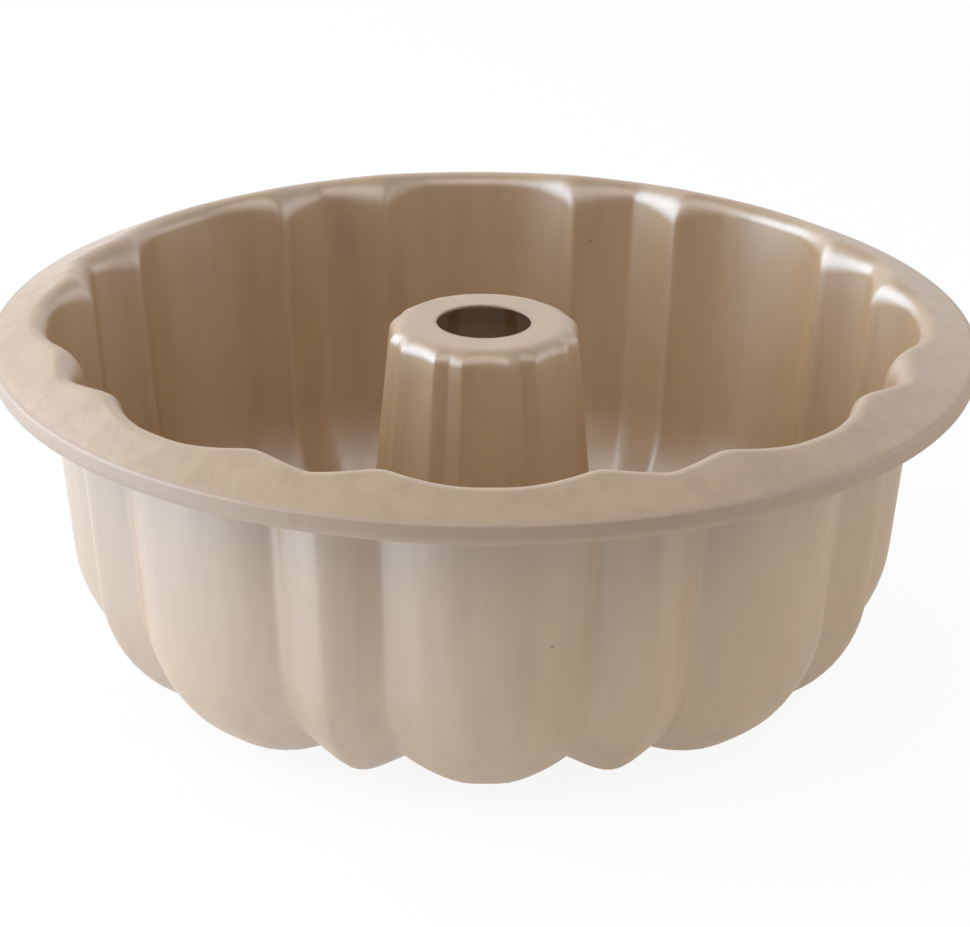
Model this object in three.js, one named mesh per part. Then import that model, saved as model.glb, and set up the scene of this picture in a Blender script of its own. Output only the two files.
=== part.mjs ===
// Fluted tube pan: a drawn steel ring mould with a wired rim and a centre tube seamed to its base.
// Millimetres, +Z up. The origin is on the table under the pan's axis, and a wide flute faces -Y.
import * as THREE from "three";

// Sheet, wire and fit
const SHEET = 0.8; // steel sheet of the body and the tube
const WIRE_DIAMETER = 2.8; // stiffening wire in the rolled edge
const CLEARANCE = 0.3; // room between two pieces where one wraps the other

// Rim
const RIM_DIAMETER = 250; // over the rolled edge
const EDGE_HEIGHT = 90.2; // above the table, where the flange's top and the rim's outer face would meet
const EDGE_BEND = 1; // outside of the bend from the flange down into the outer face
const EDGE_DEPTH = 5.5; // from that corner down to the underside of the rolled edge
const FLANGE_WIDTH = 14.9; // from the wall's food side at the edge's height to the rim's outer face
const FLANGE_SLOPE = 26.2; // degrees that the flange falls outwards
const LIP_RADIUS = 3.6; // top side of the bend from the wall into the flange
const CURL_TURN = 215; // degrees that the edge is rolled round the wire, from the outer face on

// Outer wall and base
const WALL_TAPER = 6.6; // degrees that the wall leans out
const CORNER_RADIUS = 40.2; // under side of the bend from the base into the wall
const BASE_WIDTH = 8; // level stretch of the base between its two bends

// Centre tube
const TUBE_HEIGHT = 94.7; // level top ring above the table
const TUBE_TOP_RADIUS = 23.3; // outside, where wall and top ring would meet
const TUBE_FOOT_RADIUS = 28.6; // outside, at the seam
const SHOULDER_RADIUS = 3; // outside of the bend from the wall into the top ring
const HOLE_DIAMETER = 24;

// Folded seam that locks the tube's foot to the body, inside the hollow of the tube
const COLLAR_HEIGHT = 4; // upright collar of the body below the seam
const HEM_WIDTH = 3; // body's edge folded back over the tube's foot
const HEM_ROOM = 1.6; // from the folded edge to the middle of the tube's wall

// Flutes, which run down the wall, under the base and up the tube
const FLUTE_PAIRS = 8; // one wide and one narrow flute each
const WIDE_SHARE = 0.607; // part of each pair that its wide flute takes
const RIDGE_SHARE = 0.18; // part of a wide flute that keeps the full radius, and is level under the base
const MOUTH_CREASE_DEPTH = 4; // from a wide flute's ridge in to the crease at the lip, before rounding
const BASE_CREASE_DEPTH = 5.7; // the same at the base
const TUBE_CREASE_HEIGHT = 1; // from a wide facet out to the crease on the tube, before rounding
const TUBE_FLUTE_RUN = 18; // height over which the tube's flutes rise from its round foot
const NARROW_SHARE = 0.15; // a narrow flute's ridge, as a share of the crease
const NARROW_ROUNDING = 0.12; // rounding of the narrow flute's vee, as a share of its half width
const CREASE_ROUNDING = 0.12; // rounding of a crease, as a share of its depth
const WIDE_POWER = 1.6; // how the wide flute curves from ridge to crease

// Steps of the curves
const LIP_STEPS = 3;
const EDGE_STEPS = 2;
const CURL_STEPS = 7;
const CORNER_STEPS = 5;
const FOOT_STEPS = 4;
const SHOULDER_STEPS = 3;
const WIRE_SIDES = 8;
const WIDE_COLUMNS = [0, 0.55, 1]; // places from the ridge's edge to the crease, as shares of that way
const NARROW_COLUMNS = [0.4, 1]; // places from the crease to a narrow flute's middle

// Sizes that follow from those above
const half = SHEET / 2;
const taper = THREE.MathUtils.degToRad(WALL_TAPER);
const slope = THREE.MathUtils.degToRad(FLANGE_SLOPE);
const pitch = 360 / FLUTE_PAIRS;
const wideHalfAngle = (WIDE_SHARE * pitch) / 2;
const ridgeHalfAngle = RIDGE_SHARE * wideHalfAngle;
const narrowHalfAngle = pitch / 2 - wideHalfAngle;
const curlRadius = WIRE_DIAMETER / 2 + CLEARANCE + half; // middle of the sheet round the wire
const rimRadius = RIM_DIAMETER / 2;
const wireRadius = rimRadius - curlRadius - half; // wire's centre from the axis
const wireHeight = EDGE_HEIGHT - EDGE_DEPTH + curlRadius + half;
const mouthRadius = rimRadius - FLANGE_WIDTH; // wall's food side at the edge's height
const layerStep = SHEET + CLEARANCE; // from one layer of the seam to the next
const seamWidth = HEM_WIDTH + HEM_ROOM;
const collarRadius = TUBE_FOOT_RADIUS - half; // middle of the collar and of the tube's foot

// The base's outer bend is tangent to the wall and to the table, and its inner bend takes up what is left.
const wallNormal = new THREE.Vector2(Math.cos(taper), -Math.sin(taper));
const wallPoint = new THREE.Vector2(mouthRadius + half / Math.cos(taper), EDGE_HEIGHT);
const cornerHeight = CORNER_RADIUS;
const cornerCentre = new THREE.Vector2(
  wallPoint.x - (EDGE_HEIGHT - cornerHeight) * Math.tan(taper) - (CORNER_RADIUS - half) / Math.cos(taper),
  cornerHeight,
);
const footRadius = cornerCentre.x - BASE_WIDTH - (collarRadius - half); // under side of the inner bend
const footCentre = new THREE.Vector2(cornerCentre.x - BASE_WIDTH, footRadius);
const seamHeight = footRadius + COLLAR_HEIGHT; // middle of the body's inward fold

// Points along an arc, ends included. Angles are in radians from the outward direction.
function arc(centre, radius, from, to, steps) {
  const points = [];
  for (let i = 0; i <= steps; i++) {
    const angle = THREE.MathUtils.lerp(from, to, i / steps);
    points.push(new THREE.Vector2(Math.cos(angle), Math.sin(angle)).multiplyScalar(radius).add(centre));
  }
  return points;
}

// How far the sheet is drawn in at a bearing: 0 on a wide flute's ridge, and 1 on a crease but for its rounding.
function creaseShare(bearing) {
  const turn = Math.abs(THREE.MathUtils.euclideanModulo(bearing + pitch / 2, pitch) - pitch / 2);
  const fromWide = Math.max(turn - ridgeHalfAngle, 0) / (wideHalfAngle - ridgeHalfAngle);
  const fromNarrow = (pitch / 2 - turn) / narrowHalfAngle;
  const wide = fromWide ** WIDE_POWER;
  const vee = (across) => Math.hypot(across, NARROW_ROUNDING) - NARROW_ROUNDING;
  const narrow = THREE.MathUtils.lerp(NARROW_SHARE, 1, vee(fromNarrow) / vee(1));
  const blend = Math.max(CREASE_ROUNDING - Math.abs(wide - narrow), 0) / CREASE_ROUNDING;
  return Math.min(wide, narrow) - (blend * blend * CREASE_ROUNDING) / 4;
}

// Bearings of the columns round the pan, in degrees from -Y.
function columnBearings() {
  const ahead = [
    0,
    ...WIDE_COLUMNS.map((share) => THREE.MathUtils.lerp(ridgeHalfAngle, wideHalfAngle, share)),
    ...NARROW_COLUMNS.map((share) => THREE.MathUtils.lerp(wideHalfAngle, pitch / 2, share)),
  ];
  const behind = ahead.slice(1, -1).reverse().map((angle) => pitch - angle);
  const bearings = [];
  for (let pair = 0; pair < FLUTE_PAIRS; pair++) {
    bearings.push(...[...ahead, ...behind].map((angle) => angle + pair * pitch));
  }
  return bearings;
}

// Middle line of the body's sheet from the folded seam to the end of the curl.
function bodyLine(share) {
  const atMouth = MOUTH_CREASE_DEPTH * share;
  const atBase = BASE_CREASE_DEPTH * share;
  const seamRadius = collarRadius - seamWidth;
  const seam = [
    new THREE.Vector2(seamRadius + HEM_WIDTH, seamHeight + 2 * layerStep),
    new THREE.Vector2(seamRadius, seamHeight + 2 * layerStep),
    new THREE.Vector2(seamRadius, seamHeight),
    new THREE.Vector2(collarRadius, seamHeight),
  ];
  const foot = arc(footCentre, 1, Math.PI, 1.5 * Math.PI, FOOT_STEPS).map((way, i) =>
    way.sub(footCentre).multiplyScalar(footRadius - half - (atBase * i) / FOOT_STEPS).add(footCentre),
  );
  const corner = arc(cornerCentre, CORNER_RADIUS - half - atBase, -Math.PI / 2, -taper, CORNER_STEPS);

  // The lip's centre lies one bend radius outside the wall and one below the flange.
  const bend = LIP_RADIUS - half;
  const flangeNormal = new THREE.Vector2(Math.sin(slope), Math.cos(slope));
  const flangeTop = flangeNormal.dot(new THREE.Vector2(rimRadius, EDGE_HEIGHT));
  const wallReach = wallPoint.dot(wallNormal) - atMouth + bend;
  const flangeReach = flangeTop - LIP_RADIUS;
  const cross = wallNormal.cross(flangeNormal);
  const lipCentre = new THREE.Vector2(
    (wallReach * flangeNormal.y - flangeReach * wallNormal.y) / cross,
    (flangeReach * wallNormal.x - wallReach * flangeNormal.x) / cross,
  );
  const flangeAngle = Math.PI / 2 - slope;
  const lip = arc(lipCentre, bend, Math.PI - taper, flangeAngle, LIP_STEPS);
  const edgeRadius = rimRadius - EDGE_BEND;
  const edgeCentre = new THREE.Vector2(
    edgeRadius,
    (flangeTop - EDGE_BEND - flangeNormal.x * edgeRadius) / flangeNormal.y,
  );
  const edge = arc(edgeCentre, EDGE_BEND - half, flangeAngle, 0, EDGE_STEPS);
  const wire = new THREE.Vector2(wireRadius, wireHeight);
  const curl = arc(wire, curlRadius, 0, -THREE.MathUtils.degToRad(CURL_TURN), CURL_STEPS);
  return [...seam, ...foot, ...corner, ...lip, ...edge, ...curl];
}

// Middle line of the tube's sheet from its folded foot to the hole.
function tubeLine(share) {
  const footHeight = seamHeight + layerStep;
  const fullHeight = footHeight + TUBE_FLUTE_RUN;
  const rise = TUBE_HEIGHT - footHeight;
  const lean = Math.atan((TUBE_FOOT_RADIUS - TUBE_TOP_RADIUS) / rise);
  const ridge = TUBE_CREASE_HEIGHT * share;
  const outside = (height) =>
    THREE.MathUtils.lerp(TUBE_FOOT_RADIUS, TUBE_TOP_RADIUS, (height - footHeight) / rise);
  const centreHeight = TUBE_HEIGHT - SHOULDER_RADIUS;
  const shoulderCentre = new THREE.Vector2(
    outside(centreHeight) + ridge - SHOULDER_RADIUS / Math.cos(lean),
    centreHeight,
  );
  return [
    new THREE.Vector2(collarRadius - seamWidth + half + CLEARANCE, footHeight),
    new THREE.Vector2(collarRadius, footHeight),
    new THREE.Vector2(outside(fullHeight) + ridge - half, fullHeight),
    ...arc(shoulderCentre, SHOULDER_RADIUS - half, lean, Math.PI / 2, SHOULDER_STEPS),
    new THREE.Vector2(HOLE_DIAMETER / 2, TUBE_HEIGHT - half),
  ];
}

// Closed outline of a sheet, from its middle line: one face out and the other face back.
function sheetOutline(line) {
  const faces = [[], []];
  line.forEach((point, i) => {
    const into = point.clone().sub(line[Math.max(i - 1, 0)]).normalize();
    const onward = line[Math.min(i + 1, line.length - 1)].clone().sub(point).normalize();
    const across = into.add(onward).normalize();
    const side = new THREE.Vector2(-across.y, across.x);
    const squareness = i > 0 && i < line.length - 1 ? across.dot(onward) : 1;
    faces[0].push(side.clone().multiplyScalar(half / squareness).add(point));
    faces[1].push(side.clone().multiplyScalar(-half / squareness).add(point));
  });
  return [...faces[1], ...faces[0].reverse()];
}

// A ring turned round the axis. Each column of the lathe takes the outline of its own bearing.
function turnedRing(outlineAt) {
  const bearings = columnBearings();
  const closed = (bearing) => {
    const outline = outlineAt(bearing);
    return [...outline, outline[0]];
  };
  const geometry = new THREE.LatheGeometry(closed(0), bearings.length);
  const places = geometry.getAttribute("position");
  [...bearings, bearings[0]].forEach((bearing, column) => {
    const angle = THREE.MathUtils.degToRad(bearing);
    closed(bearing).forEach((point, row, outline) => {
      const x = point.x * Math.sin(angle);
      const y = -point.x * Math.cos(angle);
      places.setXYZ(column * outline.length + row, x, y, point.y);
    });
  });
  geometry.computeVertexNormals();
  return geometry;
}

function piece(name, geometry, color, roughness) {
  const material = new THREE.MeshStandardMaterial({ color, roughness, metalness: 0.85 });
  const mesh = new THREE.Mesh(geometry, material);
  mesh.name = name;
  return mesh;
}

const body = turnedRing((bearing) => sheetOutline(bodyLine(creaseShare(bearing))));
const tube = turnedRing((bearing) => sheetOutline(tubeLine(creaseShare(bearing))));
const wireSection = arc(new THREE.Vector2(wireRadius, wireHeight), WIRE_DIAMETER / 2, 0, 2 * Math.PI, WIRE_SIDES);
wireSection.pop();
const wire = turnedRing(() => wireSection);

const pan = new THREE.Group();
pan.add(piece("pan_body", body, 0xb7a28c, 0.38));
pan.add(piece("centre_tube", tube, 0xb39c84, 0.38));
pan.add(piece("rim_wire", wire, 0x9a9c9e, 0.45));

export default pan;
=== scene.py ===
"""A fluted tube pan in champagne non-stick coating, standing on a white table in soft studio light."""
import math

import bmesh
import bpy
from mathutils import Matrix, Vector


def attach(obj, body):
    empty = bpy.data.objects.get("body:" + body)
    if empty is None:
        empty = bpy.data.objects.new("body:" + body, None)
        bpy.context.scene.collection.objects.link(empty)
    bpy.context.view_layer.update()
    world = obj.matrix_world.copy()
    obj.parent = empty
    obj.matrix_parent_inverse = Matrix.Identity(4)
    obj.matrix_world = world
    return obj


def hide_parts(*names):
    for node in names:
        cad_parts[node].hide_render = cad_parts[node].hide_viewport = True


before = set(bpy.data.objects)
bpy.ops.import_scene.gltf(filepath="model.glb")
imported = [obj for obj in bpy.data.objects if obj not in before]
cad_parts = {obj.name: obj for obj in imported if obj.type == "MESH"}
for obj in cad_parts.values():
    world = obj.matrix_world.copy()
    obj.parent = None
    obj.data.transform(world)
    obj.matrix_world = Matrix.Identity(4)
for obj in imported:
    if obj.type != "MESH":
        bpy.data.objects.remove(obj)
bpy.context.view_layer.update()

MM = 0.001

# Sheet, wire and fit. Sizes are in millimetres and angles in degrees, unless a comment says otherwise.
SHEET = 0.8
WIRE_DIAMETER = 2.8
CLEARANCE = 0.3

# Rim
RIM_RADIUS = 125.0
EDGE_HEIGHT = 90.2
EDGE_BEND = 1.0
EDGE_DEPTH = 5.5
FLANGE_WIDTH = 14.9
FLANGE_SLOPE = 26.2
LIP_RADIUS = 3.6
LIP_ROLL_IN = 4.4
LIP_ROLL_DOWN = 7.0
LIP_BROW = 110.0
CURL_TURN = 215.0

# Outer wall and base
WALL_TAPER = 6.6
CORNER_RADIUS = 40.2
BASE_WIDTH = 8.0

# Centre tube and the folded seam at its foot
TUBE_HEIGHT = 94.7
TUBE_TOP_RADIUS = 23.3
TUBE_FOOT_RADIUS = 28.6
SHOULDER_RADIUS = 4.4
HOLE_RADIUS = 12.0
COLLAR_HEIGHT = 4.0
HEM_WIDTH = 3.0
HEM_ROOM = 1.6
FOLD_RADIUS = 0.9
FOLD_LEAD = 0.4
TUBE_HEM_WIDTH = 2.2

# Flutes
FLUTE_PAIRS = 8
PITCH = 360.0 / FLUTE_PAIRS
RIDGE_SHARE = 0.18
MOUTH_CREASE_DEPTH = 4.75
MOUTH_CREASE_RISE = 21.0
BASE_CREASE_DEPTH = 6.2
TUBE_CREASE_HEIGHT = 1.0
TUBE_FLUTE_RUN = 18.0
NARROW_SHARE = 0.15
NARROW_LIP_SHARE = 0.42
NARROW_ROUNDING = 0.12
WIDE_POWER = 1.6

# Share of a flute pair that its wide flute takes, and the rounding of its creases
WALL_FLUTES = Vector((0.645, 0.2))
LIP_FLUTES = Vector((0.608, 0.4))
TUBE_FLUTES = Vector((0.607, 0.12))

# Columns and steps of the meshes, with the columns crowded towards the creases
COLUMNS = FLUTE_PAIRS * 40
WIDE_COLUMN_SHARE = 0.6
COLUMN_CROWDING = 1.7
FOLD_STEPS = 6
BEND_STEPS = 4
FOOT_STEPS = 14
CORNER_STEPS = 16
WALL_STEPS = 6
LIP_STEPS = 16
FLANGE_STEPS = 4
EDGE_STEPS = 5
CURL_STEPS = 14
TUBE_STEPS = 14
SHOULDER_STEPS = 8
RING_SHARES = (0.3, 0.65, 0.93, 1)

# Rounding of the sheet's cut edges, and the sharpest turn that is left as it is
CUT_EDGE_ROUNDING = 0.25
CUT_EDGE_TURN = 60

# Patterns of the finishes, and the bands that handling wears, where the rolled edge's band is darkened also
# as painted shade
CLOUD_SIZE = 25.0
FLAKE_SIZE = 0.7
STREAK_WIDTH = 7.0
STREAK_HEIGHT = 140.0
STREAK_RELIEF = 0.3
PIT_SPACING = 30.0
PIT_RADIUS = 0.45
RIM_WEAR_AND_SHADE_WIDTH = 1.8
RIM_FULL_WEAR_AND_SHADE = 0.4
HOLE_WEAR_WIDTH = 1.2
WIRE_MARK_SIZE = 0.6

# What follows from the sizes above
HALF = SHEET / 2
CURL_RADIUS = WIRE_DIAMETER / 2 + CLEARANCE + HALF
WIRE_CENTRE = Vector((RIM_RADIUS - CURL_RADIUS - HALF, EDGE_HEIGHT - EDGE_DEPTH + CURL_RADIUS + HALF))
COLLAR_RADIUS = TUBE_FOOT_RADIUS - HALF
LAYER_STEP = SHEET + CLEARANCE
SEAM_RADIUS = COLLAR_RADIUS - HEM_WIDTH - HEM_ROOM
TAPER = math.radians(WALL_TAPER)
SLOPE = math.radians(FLANGE_SLOPE)
WALL_POINT = Vector((RIM_RADIUS - FLANGE_WIDTH + HALF / math.cos(TAPER), EDGE_HEIGHT))
WALL_NORMAL = Vector((math.cos(TAPER), -math.sin(TAPER)))
FLANGE_NORMAL = Vector((math.sin(SLOPE), math.cos(SLOPE)))
FLANGE_TOP = FLANGE_NORMAL.dot(Vector((RIM_RADIUS, EDGE_HEIGHT)))
LIP_CROSS = WALL_NORMAL.x * FLANGE_NORMAL.y - WALL_NORMAL.y * FLANGE_NORMAL.x
CORNER_CENTRE = Vector((
    WALL_POINT.x - (EDGE_HEIGHT - CORNER_RADIUS) * math.tan(TAPER) - (CORNER_RADIUS - HALF) / math.cos(TAPER),
    CORNER_RADIUS,
))
FOOT_RADIUS = CORNER_CENTRE.x - BASE_WIDTH - COLLAR_RADIUS + HALF
FOOT_CENTRE = Vector((CORNER_CENTRE.x - BASE_WIDTH, FOOT_RADIUS))
SEAM_HEIGHT = FOOT_RADIUS + COLLAR_HEIGHT


# Shapes

def arc(centre, radius, start, end, steps):
    """Points along an arc, ends included. Angles are in degrees from the outward direction."""
    angles = [math.radians(start + (end - start) * i / steps) for i in range(steps + 1)]
    return [centre + radius * Vector((math.cos(a), math.sin(a))) for a in angles]


def flute_turn(bearing):
    """Degrees from the nearest wide flute's middle."""
    return abs((bearing + PITCH / 2) % PITCH - PITCH / 2)


def vee(across):
    """A straight-sided vee with a rounded bottom."""
    return math.hypot(across, NARROW_ROUNDING) - NARROW_ROUNDING


def crease_share(bearing, wide_share, narrow_share, rounding):
    """How far the sheet is drawn in at a bearing: 0 on a wide flute's ridge, near 1 on a crease."""
    turn = flute_turn(bearing) / (PITCH / 2)
    wide = (max(turn / wide_share - RIDGE_SHARE, 0) / (1 - RIDGE_SHARE)) ** WIDE_POWER
    from_narrow = (1 - turn) / (1 - wide_share)
    narrow = narrow_share + (1 - narrow_share) * vee(from_narrow) / vee(1)
    blend = max(rounding - abs(wide - narrow), 0) / rounding
    return min(wide, narrow) - blend * blend * rounding / 4


def column_bearing(bearing, wide_share):
    """Moves the even columns of a spin towards the creases and the narrow flutes' middles."""
    middle = round(bearing / PITCH) * PITCH
    share = abs(bearing - middle) / (PITCH / 2)
    if share < WIDE_COLUMN_SHARE:
        turn = wide_share * (1 - (1 - share / WIDE_COLUMN_SHARE) ** COLUMN_CROWDING)
    else:
        across = (share - WIDE_COLUMN_SHARE) / (1 - WIDE_COLUMN_SHARE)
        turn = wide_share + (1 - wide_share) * across * across * (3 - 2 * across)
    return middle + math.copysign(turn * PITCH / 2, bearing - middle)


def lip_centre():
    """The centre of the bend from the wall into the flange, tangent to both."""
    wall_reach = WALL_POINT.dot(WALL_NORMAL) + LIP_RADIUS - HALF
    flange_reach = FLANGE_TOP - LIP_RADIUS
    return Vector((
        (wall_reach * FLANGE_NORMAL.y - flange_reach * WALL_NORMAL.y) / LIP_CROSS,
        (flange_reach * WALL_NORMAL.x - wall_reach * FLANGE_NORMAL.x) / LIP_CROSS,
    ))


def body_profile():
    """The middle of the body's sheet, from the folded seam to the end of the curl.

    Each point comes with the way that a crease moves it, the way that the lip's wider roll over a crease
    moves it, and how softly the creases are rounded there.
    """
    still = Vector((0, 0))
    hem = SEAM_HEIGHT + 2 * LAYER_STEP
    fold = Vector((SEAM_RADIUS + LAYER_STEP, SEAM_HEIGHT + LAYER_STEP))
    collar_bend = Vector((COLLAR_RADIUS - FOLD_RADIUS, SEAM_HEIGHT - FOLD_RADIUS))
    seam = [Vector((SEAM_RADIUS + HEM_WIDTH, hem)), Vector((fold.x + FOLD_LEAD, hem))]
    seam += arc(fold, LAYER_STEP, 90, 270, FOLD_STEPS)
    seam += [Vector((fold.x + FOLD_LEAD, SEAM_HEIGHT))]
    seam += arc(collar_bend, FOLD_RADIUS, 90, 0, BEND_STEPS)
    profile = [(point, still, still, 0) for point in seam]

    for i, point in enumerate(arc(FOOT_CENTRE, FOOT_RADIUS - HALF, 180, 270, FOOT_STEPS)):
        inward = (FOOT_CENTRE - point).normalized()
        profile.append((point, inward * BASE_CREASE_DEPTH * i / FOOT_STEPS, still, 0))
    middle = FOOT_CENTRE.lerp(CORNER_CENTRE, 0.5).x
    profile.append((Vector((middle, HALF)), Vector((0, BASE_CREASE_DEPTH)), still, 0))
    corner = arc(CORNER_CENTRE, CORNER_RADIUS - HALF, -90, -WALL_TAPER, CORNER_STEPS)
    for point in corner:
        profile.append((point, (CORNER_CENTRE - point).normalized() * BASE_CREASE_DEPTH, still, 0))

    over_lip = Vector((-1, math.tan(math.radians(MOUTH_CREASE_RISE)))) * MOUTH_CREASE_DEPTH
    lip = arc(lip_centre(), LIP_RADIUS - HALF, 180 - WALL_TAPER, 90 - FLANGE_SLOPE, LIP_STEPS)
    facing = arc(still, 1, 180 - WALL_TAPER, 90 - FLANGE_SLOPE, LIP_STEPS)
    brow = arc(still, 1, LIP_BROW, LIP_BROW, 1)[0]
    roll = Vector((LIP_ROLL_IN, LIP_ROLL_DOWN))
    at_foot = -WALL_NORMAL * BASE_CREASE_DEPTH
    for i in range(1, WALL_STEPS):
        share = i / WALL_STEPS
        rolled = (facing[0] - brow) * roll * share
        profile.append((corner[-1].lerp(lip[0], share), at_foot.lerp(over_lip, share), rolled, 0))
    for point, normal in zip(lip, facing):
        below_brow = normal.x < brow.x
        rolled = (normal - brow) * roll if below_brow else still
        softness = (brow.x - normal.x) / (brow.x - facing[0].x) if below_brow else 0
        profile.append((point, over_lip, rolled, 1 - softness))

    edge_radius = RIM_RADIUS - EDGE_BEND
    edge_height = (FLANGE_TOP - EDGE_BEND - FLANGE_NORMAL.x * edge_radius) / FLANGE_NORMAL.y
    edge = arc(Vector((edge_radius, edge_height)), EDGE_BEND - HALF, 90 - FLANGE_SLOPE, 0, EDGE_STEPS)
    for i in range(1, FLANGE_STEPS):
        share = i / FLANGE_STEPS
        profile.append((lip[-1].lerp(edge[0], share), over_lip * (1 - share), still, 1))
    curl = arc(WIRE_CENTRE, CURL_RADIUS, 0, -CURL_TURN, CURL_STEPS)
    profile += [(point, still, still, 0) for point in edge + curl]
    return profile


def tube_profile():
    """The middle of the tube's sheet, from its folded foot to the hole, with the ways as for the body."""
    foot = SEAM_HEIGHT + LAYER_STEP
    rise = TUBE_HEIGHT - foot
    lean = math.atan((TUBE_FOOT_RADIUS - TUBE_TOP_RADIUS) / rise)
    bend = Vector((COLLAR_RADIUS - FOLD_RADIUS, foot + FOLD_RADIUS))
    still = Vector((0, 0))
    out = Vector((TUBE_CREASE_HEIGHT, 0))
    folded = [Vector((SEAM_RADIUS + HALF + CLEARANCE, foot)), Vector((SEAM_RADIUS + TUBE_HEM_WIDTH, foot))]
    folded += arc(bend, FOLD_RADIUS, -90, 0, BEND_STEPS)
    profile = [(point, still, still, 0) for point in folded]

    centre_height = TUBE_HEIGHT - SHOULDER_RADIUS
    side_radius = TUBE_FOOT_RADIUS - (centre_height - foot) * math.tan(lean)
    centre = Vector((side_radius - SHOULDER_RADIUS / math.cos(lean), centre_height))
    shoulder = arc(centre, SHOULDER_RADIUS - HALF, math.degrees(lean), 90, SHOULDER_STEPS)
    start = folded[-1]
    for i in range(1, TUBE_STEPS):
        point = start.lerp(shoulder[0], i / TUBE_STEPS)
        risen = min((point.y - foot) / TUBE_FLUTE_RUN, 1)
        profile.append((point, out * risen, still, 0))
    for i, point in enumerate(shoulder):
        fading = math.cos(i / SHOULDER_STEPS * math.pi / 2) ** 2
        profile.append((point, out * fading, still, 0))
    edge = Vector((HOLE_RADIUS, TUBE_HEIGHT - HALF))
    profile += [(shoulder[-1].lerp(edge, share), still, still, 0) for share in RING_SHARES]
    return profile


def turned_sheet(name, profile, crisp_flutes, soft_flutes):
    """Spins a profile round the pan's axis, flutes it, and gives it the sheet's thickness."""
    bm = bmesh.new()
    drawn = bm.verts.layers.float_vector.new("crease_way")
    rolled = bm.verts.layers.float_vector.new("roll_way")
    soft = bm.verts.layers.float.new("softness")
    verts = []
    for point, crease_way, roll_way, softness in profile:
        vert = bm.verts.new((0, -point.x * MM, point.y * MM))
        vert[drawn] = (crease_way.x * MM, 0, crease_way.y * MM)
        vert[rolled] = (roll_way.x * MM, 0, roll_way.y * MM)
        vert[soft] = softness
        verts.append(vert)
    edges = [bm.edges.new(pair) for pair in zip(verts, verts[1:])]
    bmesh.ops.spin(
        bm, geom=verts + edges, axis=(0, 0, 1), cent=(0, 0, 0),
        angle=2 * math.pi, steps=COLUMNS, use_merge=True,
    )
    for vert in bm.verts:
        wide_share, rounding = crisp_flutes.lerp(soft_flutes, vert[soft])
        bearing = column_bearing(math.degrees(math.atan2(vert.co.x, -vert.co.y)), wide_share)
        radius = math.hypot(vert.co.x, vert.co.y)
        moved = crease_share(bearing, wide_share, NARROW_SHARE, rounding) * vert[drawn]
        moved += crease_share(bearing, wide_share, NARROW_LIP_SHARE, rounding) ** 2 * vert[rolled]
        outward = Vector((math.sin(math.radians(bearing)), -math.cos(math.radians(bearing)), 0))
        vert.co = outward * (radius + moved.x) + Vector((0, 0, vert.co.z + moved.z))
    bmesh.ops.recalc_face_normals(bm, faces=bm.faces)
    for face in bm.faces:
        face.smooth = True
    mesh = bpy.data.meshes.new(name)
    bm.to_mesh(mesh)
    bm.free()
    piece = bpy.data.objects.new(name, mesh)
    bpy.context.collection.objects.link(piece)
    wall = piece.modifiers.new("sheet", "SOLIDIFY")
    wall.thickness = SHEET * MM
    wall.offset = 0
    wall.use_even_offset = True
    rounded = piece.modifiers.new("cut_edges", "BEVEL")
    rounded.width = CUT_EDGE_ROUNDING * MM
    rounded.segments = 3
    rounded.limit_method = "ANGLE"
    rounded.angle_limit = math.radians(CUT_EDGE_TURN)
    return piece


# Finishes

def linear(hex_colour):
    """An sRGB hex colour as linear RGBA."""
    parts = [int(hex_colour[i:i + 2], 16) / 255 for i in (1, 3, 5)]
    return [c / 12.92 if c <= 0.04045 else ((c + 0.055) / 1.055) ** 2.4 for c in parts] + [1]


def add(tree, kind, inputs=None, **settings):
    """Adds a node with its settings. An input takes a value, or a link where it is given a socket."""
    node = tree.nodes.new(kind)
    for name, value in settings.items():
        setattr(node, name, value)
    for name, value in (inputs or {}).items():
        if isinstance(value, bpy.types.NodeSocket):
            tree.links.new(value, node.inputs[name])
        else:
            node.inputs[name].default_value = value
    return node


def new_material(name):
    """A bare material with its node tree."""
    material = bpy.data.materials.new(name)
    material.use_nodes = True
    material.node_tree.nodes.clear()
    return material, material.node_tree


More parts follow.
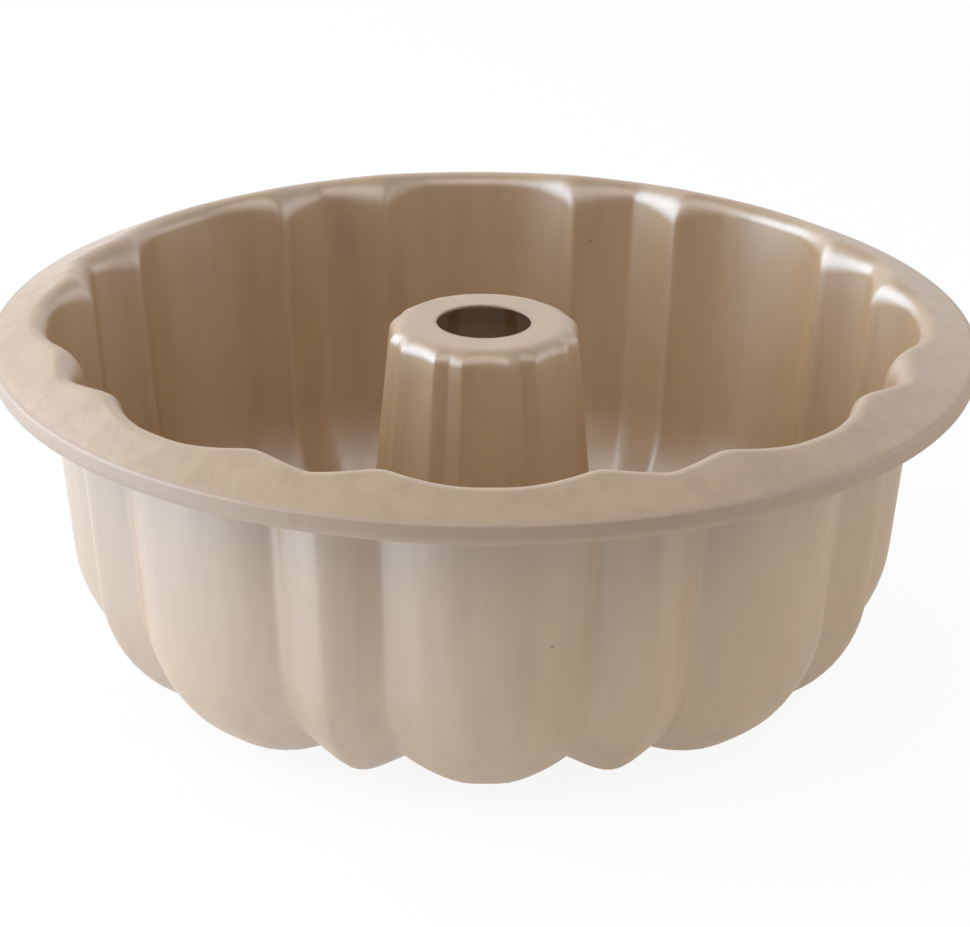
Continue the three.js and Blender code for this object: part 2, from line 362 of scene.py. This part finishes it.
def champagne_nonstick():
    """Sprayed and baked non-stick coating with mica: a brown body under a pale pearl gloss, satin all over.

    The mica lifts the gloss far above that of a plain film, which the high index of refraction stands for.
    """
    material, tree = new_material("champagne_nonstick")
    place = add(tree, "ShaderNodeTexCoord").outputs["Object"]
    # The film's thickness wanders over a few centimetres, which the eye sees as faint clouds.
    cloud = add(tree, "ShaderNodeTexNoise", {"Vector": place, "Scale": 1 / (CLOUD_SIZE * MM), "Detail": 3})
    # Mica flakes of 0.1 mm, drawn coarser so that their glitter still shows as a fine grain.
    flakes = add(tree, "ShaderNodeTexNoise", {"Vector": place, "Scale": 1 / (FLAKE_SIZE * MM), "Detail": 2})
    # Deep drawing leaves upright streaks a few millimetres wide, which run on over the wall's whole height.
    upright = add(tree, "ShaderNodeMapping", {"Vector": place, "Scale": (1, 1, STREAK_WIDTH / STREAK_HEIGHT)})
    streaks = add(
        tree, "ShaderNodeTexNoise",
        {
            "Vector": upright.outputs["Vector"], "Scale": 1 / (STREAK_WIDTH * MM),
            "Detail": 2, "Roughness": 0.55,
        },
    )
    # Pits of under a millimetre, only where a cell's middle happens to lie in the sheet.
    cells = add(tree, "ShaderNodeTexVoronoi", {"Vector": place, "Scale": 1 / (PIT_SPACING * MM)})
    pits = add(
        tree, "ShaderNodeMath",
        {0: cells.outputs["Distance"], 1: PIT_RADIUS / PIT_SPACING},
        operation="LESS_THAN",
    )
    # Handling rubs the rolled edge and the hole's edge dull, down to the browner undercoat. On the rolled
    # edge that darker brown is also painted shade on the bead's face.
    flat = add(tree, "ShaderNodeVectorMath", {0: place, 1: (1, 1, 0)}, operation="MULTIPLY")
    radius = add(tree, "ShaderNodeVectorMath", {0: flat.outputs["Vector"]}, operation="LENGTH")
    rim_wear_and_shade = add(
        tree, "ShaderNodeMapRange",
        {
            "Value": radius.outputs["Value"],
            "From Min": (RIM_RADIUS - RIM_WEAR_AND_SHADE_WIDTH) * MM, "From Max": (RIM_RADIUS - RIM_FULL_WEAR_AND_SHADE) * MM,
        },
    )
    hole_wear = add(
        tree, "ShaderNodeMapRange",
        {
            "Value": radius.outputs["Value"],
            "From Min": (HOLE_RADIUS + HOLE_WEAR_WIDTH) * MM, "From Max": HOLE_RADIUS * MM,
        },
    )
    wear_and_shade = add(
        tree, "ShaderNodeMath",
        {0: rim_wear_and_shade.outputs["Result"], 1: hole_wear.outputs["Result"]},
        operation="MAXIMUM",
    )
    worn_and_shaded = add(
        tree, "ShaderNodeMath",
        {0: wear_and_shade.outputs[0], 1: streaks.outputs["Fac"]},
        operation="MULTIPLY",
    )

    # The colours, from the clouds up to the pits.
    clouded = add(
        tree, "ShaderNodeMix",
        {"Factor": cloud.outputs["Fac"], "A": linear("#a37f50"), "B": linear("#ad895a")},
        data_type="RGBA",
    )
    stretched = add(
        tree, "ShaderNodeMapRange",
        {"Value": streaks.outputs["Fac"], "From Min": 0.3, "From Max": 0.6},
    )
    streaked = add(
        tree, "ShaderNodeMix",
        {"Factor": stretched.outputs["Result"], "A": linear("#f1eae1"), "B": linear("#ffffff")},
        data_type="RGBA",
    )
    drawn = add(
        tree, "ShaderNodeMix",
        {"Factor": 1.0, "A": clouded.outputs["Result"], "B": streaked.outputs["Result"]},
        data_type="RGBA", blend_type="MULTIPLY",
    )
    # The darker brown of the rubbed bands: wear at the hole, and wear with painted shade on the rolled edge.
    rubbed_and_shaded = add(
        tree, "ShaderNodeMix",
        {"Factor": worn_and_shaded.outputs[0], "A": drawn.outputs["Result"], "B": linear("#876749")},
        data_type="RGBA",
    )
    tone = add(
        tree, "ShaderNodeMix",
        {"Factor": pits.outputs[0], "A": rubbed_and_shaded.outputs["Result"], "B": linear("#4a3626")},
        data_type="RGBA",
    )
    # The gloss, with the flakes' glitter, the dull wear and the streaks' slight waves.
    satin = add(
        tree, "ShaderNodeMapRange",
        {"Value": flakes.outputs["Fac"], "From Min": 0.3, "From Max": 0.7, "To Min": 0.41, "To Max": 0.47},
    )
    dull = add(
        tree, "ShaderNodeMix",
        {"Factor": wear_and_shade.outputs[0], "A": satin.outputs["Result"], "B": 0.65},
    )
    waves = add(
        tree, "ShaderNodeBump",
        {"Height": streaks.outputs["Fac"], "Strength": 1.0, "Distance": STREAK_RELIEF * MM},
    )
    surface = add(tree, "ShaderNodeBsdfPrincipled", {
        "Base Color": tone.outputs["Result"],
        "Roughness": dull.outputs["Result"],
        "IOR": 2.8,
        "Normal": waves.outputs["Normal"],
    })
    add(tree, "ShaderNodeOutputMaterial", {"Surface": surface.outputs["BSDF"]})
    return material


def drawn_steel():
    """Bright steel wire pulled through a die: grey metal, mottled by fine marks from the die."""
    material, tree = new_material("drawn_steel")
    place = add(tree, "ShaderNodeTexCoord").outputs["Object"]
    # Marks of 0.1 mm, drawn coarser so that they show.
    marks = add(
        tree, "ShaderNodeTexNoise",
        {"Vector": place, "Scale": 1 / (WIRE_MARK_SIZE * MM), "Detail": 2},
    )
    sheen = add(
        tree, "ShaderNodeMapRange",
        {"Value": marks.outputs["Fac"], "To Min": 0.3, "To Max": 0.5},
    )
    tone = add(
        tree, "ShaderNodeMix",
        {"Factor": marks.outputs["Fac"], "A": linear("#a9acaf"), "B": linear("#bfc1c2")},
        data_type="RGBA",
    )
    surface = add(tree, "ShaderNodeBsdfPrincipled", {
        "Base Color": tone.outputs["Result"],
        "Metallic": 1.0,
        "Roughness": sheen.outputs["Result"],
    })
    add(tree, "ShaderNodeOutputMaterial", {"Surface": surface.outputs["BSDF"]})
    return material


# Painted light on the table that only the coating's gloss sees, in metres: a bright, cool painted pool of
# light at the left, and painted dimness in front
GLOW_LEFT = -0.17
GLOW_RIGHT = 0.03
GLOW_FRONT = -0.36
GLOW_BACK = -0.15
COOL_LEFT = -0.2
WARM_RIGHT = 0.05
COOL_CAST = (0.84, 1.0, 1.22, 1)
WARM_CAST = (1.05, 1.0, 0.91, 1)
NO_CAST = (1, 1, 1, 1)


def white_table():
    """Matt white table top: plain white to the camera with the pan's soft shadow, and a painted glow in the
    gloss that stands in for the lamps' light on it.
    """
    material, tree = new_material("white_table")
    place = add(tree, "ShaderNodeTexCoord").outputs["Object"]
    across = add(tree, "ShaderNodeSeparateXYZ", {"Vector": place})
    # Painted light: a glow strongest at the left and fading towards the front, seen only in reflections.
    from_left = add(
        tree, "ShaderNodeMapRange",
        {
            "Value": across.outputs["X"], "From Min": GLOW_LEFT, "From Max": GLOW_RIGHT,
            "To Min": 1.85, "To Max": 0.88,
        },
    )
    from_back = add(
        tree, "ShaderNodeMapRange",
        {
            "Value": across.outputs["Y"], "From Min": GLOW_FRONT, "From Max": GLOW_BACK,
            "To Min": 0.1, "To Max": 1.0,
        },
    )
    painted_glow = add(
        tree, "ShaderNodeMath",
        {0: from_left.outputs["Result"], 1: from_back.outputs["Result"]},
        operation="MULTIPLY",
    )
    path = add(tree, "ShaderNodeLightPath")
    strength = add(
        tree, "ShaderNodeMix",
        {"Factor": path.outputs["Is Camera Ray"], "A": painted_glow.outputs[0], "B": 1.0},
    )
    seen = add(
        tree, "ShaderNodeMath",
        {0: path.outputs["Is Camera Ray"], 1: path.outputs["Is Glossy Ray"]},
        operation="MAXIMUM",
    )
    # The rest of the light stays matt, so that the pan keeps its shadow.
    share = add(tree, "ShaderNodeMath", {0: seen.outputs[0], 1: 0.9}, operation="MULTIPLY")
    matt = add(tree, "ShaderNodeBsdfDiffuse", {"Color": linear("#f4f4f2")})
    warmth = add(
        tree, "ShaderNodeMapRange",
        {"Value": across.outputs["X"], "From Min": COOL_LEFT, "From Max": WARM_RIGHT},
    )
    cast = add(
        tree, "ShaderNodeMix",
        {"Factor": warmth.outputs["Result"], "A": COOL_CAST, "B": WARM_CAST},
        data_type="RGBA",
    )
    hue = add(
        tree, "ShaderNodeMix",
        {"Factor": path.outputs["Is Camera Ray"], "A": cast.outputs["Result"], "B": NO_CAST},
        data_type="RGBA",
    )
    plain = add(
        tree, "ShaderNodeEmission",
        {"Color": hue.outputs["Result"], "Strength": strength.outputs["Result"]},
    )
    both = add(
        tree, "ShaderNodeMixShader",
        {0: share.outputs[0], 1: matt.outputs["BSDF"], 2: plain.outputs["Emission"]},
    )
    add(tree, "ShaderNodeOutputMaterial", {"Surface": both.outputs["Shader"]})
    return material


# The pan
coating = champagne_nonstick()
sheets = (
    ("pan_body", body_profile(), WALL_FLUTES, LIP_FLUTES),
    ("centre_tube", tube_profile(), TUBE_FLUTES, TUBE_FLUTES),
)
for node, profile, crisp_flutes, soft_flutes in sheets:
    piece = turned_sheet(node + "_sheet", profile, crisp_flutes, soft_flutes)
    piece.data.materials.append(coating)
    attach(piece, "root")
    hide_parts(node)

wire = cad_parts["rim_wire"]
wire.data.materials.clear()
wire.data.materials.append(drawn_steel())


# Table, light and camera

# The table's half width in metres, and the millimetres that keep its top clear of the ridges on it
TABLE_REACH = 6
TABLE_GAP = 0.05

# The room's light by the share of a direction that points straight back
ROOM_BACK = (0.0, 1.0, 0.0)
ROOM_DIM_SHARE = 0.03
ROOM_BRIGHT_SHARE = 0.9
ROOM_DIM = 0.2
ROOM_BRIGHT = 1.2
ROOM_CAST = (0.94, 1.0, 1.1, 1)

# Softboxes round the pan's middle: place, width and height in metres, radiance and tint
PAN_MIDDLE = Vector((0, 0, 0.06))
SOFTBOXES = (
    ("left_box", (-1.1, 0.1, 0.52), 1.7, 0.95, 4.0, (0.86, 1.0, 1.16)),
    ("right_box", (1.2, 0.1, 0.4), 1.0, 0.8, 1.5, (1, 1, 1)),
    ("front_box", (0.0, -0.75, 1.2), 2.2, 1.1, 1.35, (1.02, 1.0, 0.98)),
)

# Camera of the photograph, fitted to the rim, the wall and the tube. Angles are in degrees, the distance in
# metres, the height that it turns about in millimetres, and the lens in pixels of the frame.
CAMERA_BEARING = -1.006
CAMERA_ELEVATION = 20.629
CAMERA_DISTANCE = 1.446
CAMERA_TILT = -1.27
CAMERA_PAN = 0.023
CAMERA_ROLL = 0.479
CAMERA_PIVOT = 90.4
FOCAL_PIXELS = 5703
FRAME_WIDTH = 970


def floor():
    """A wide plain table under the pan."""
    bm = bmesh.new()
    lowered = Matrix.Translation((0, 0, -TABLE_GAP * MM))
    bmesh.ops.create_grid(bm, x_segments=1, y_segments=1, size=TABLE_REACH, matrix=lowered)
    mesh = bpy.data.meshes.new("table")
    bm.to_mesh(mesh)
    bm.free()
    table = bpy.data.objects.new("table", mesh)
    table.data.materials.append(white_table())
    bpy.context.collection.objects.link(table)


def softbox(name, place, width, height, radiance, tint):
    """A wide area lamp that faces the pan's middle, as bright to look at as its radiance says."""
    lamp = bpy.data.lights.new(name, "AREA")
    lamp.shape = "RECTANGLE"
    lamp.size = width
    lamp.size_y = height
    lamp.energy = math.pi * width * height * radiance
    lamp.color = tint
    holder = bpy.data.objects.new(name, lamp)
    holder.location = place
    aim = PAN_MIDDLE - Vector(place)
    holder.rotation_euler = aim.to_track_quat("-Z", "Y").to_euler()
    bpy.context.collection.objects.link(holder)


def studio():
    """A pale room: white to the camera, and as light brightest behind the pan and dimmer in front."""
    world = bpy.data.worlds.new("studio")
    world.use_nodes = True
    tree = world.node_tree
    tree.nodes.clear()
    way = add(tree, "ShaderNodeTexCoord").outputs["Generated"]
    depth = add(tree, "ShaderNodeVectorMath", {0: way, 1: ROOM_BACK}, operation="DOT_PRODUCT")
    room = add(
        tree, "ShaderNodeMapRange",
        {
            "Value": depth.outputs["Value"], "From Min": ROOM_DIM_SHARE, "From Max": ROOM_BRIGHT_SHARE,
            "To Min": ROOM_DIM, "To Max": ROOM_BRIGHT,
        },
    )
    path = add(tree, "ShaderNodeLightPath")
    strength = add(
        tree, "ShaderNodeMix",
        {"Factor": path.outputs["Is Camera Ray"], "A": room.outputs["Result"], "B": 1.0},
    )
    hue = add(
        tree, "ShaderNodeMix",
        {"Factor": path.outputs["Is Camera Ray"], "A": ROOM_CAST, "B": NO_CAST},
        data_type="RGBA",
    )
    backdrop = add(
        tree, "ShaderNodeBackground",
        {"Color": hue.outputs["Result"], "Strength": strength.outputs["Result"]},
    )
    add(tree, "ShaderNodeOutputWorld", {"Surface": backdrop.outputs["Background"]})
    bpy.context.scene.world = world


floor()
studio()
for box in SOFTBOXES:
    softbox(*box)

lens = bpy.data.cameras.new("camera")
lens.sensor_fit = "HORIZONTAL"
lens.lens = FOCAL_PIXELS * lens.sensor_width / FRAME_WIDTH
camera = bpy.data.objects.new("camera", lens)
bpy.context.collection.objects.link(camera)
stand = (
    Matrix.Translation((0, 0, CAMERA_PIVOT * MM))
    @ Matrix.Rotation(math.radians(CAMERA_BEARING), 4, "Z")
)
arm = (
    Matrix.Rotation(math.radians(90 - CAMERA_ELEVATION), 4, "X")
    @ Matrix.Translation((0, 0, CAMERA_DISTANCE))
)
head = (
    Matrix.Rotation(math.radians(CAMERA_TILT), 4, "X")
    @ Matrix.Rotation(math.radians(-CAMERA_PAN), 4, "Y")
    @ Matrix.Rotation(math.radians(CAMERA_ROLL), 4, "Z")
)
camera.matrix_world = stand @ arm @ head
bpy.context.scene.camera = camera

bpy.context.scene.view_settings.view_transform = "Standard"
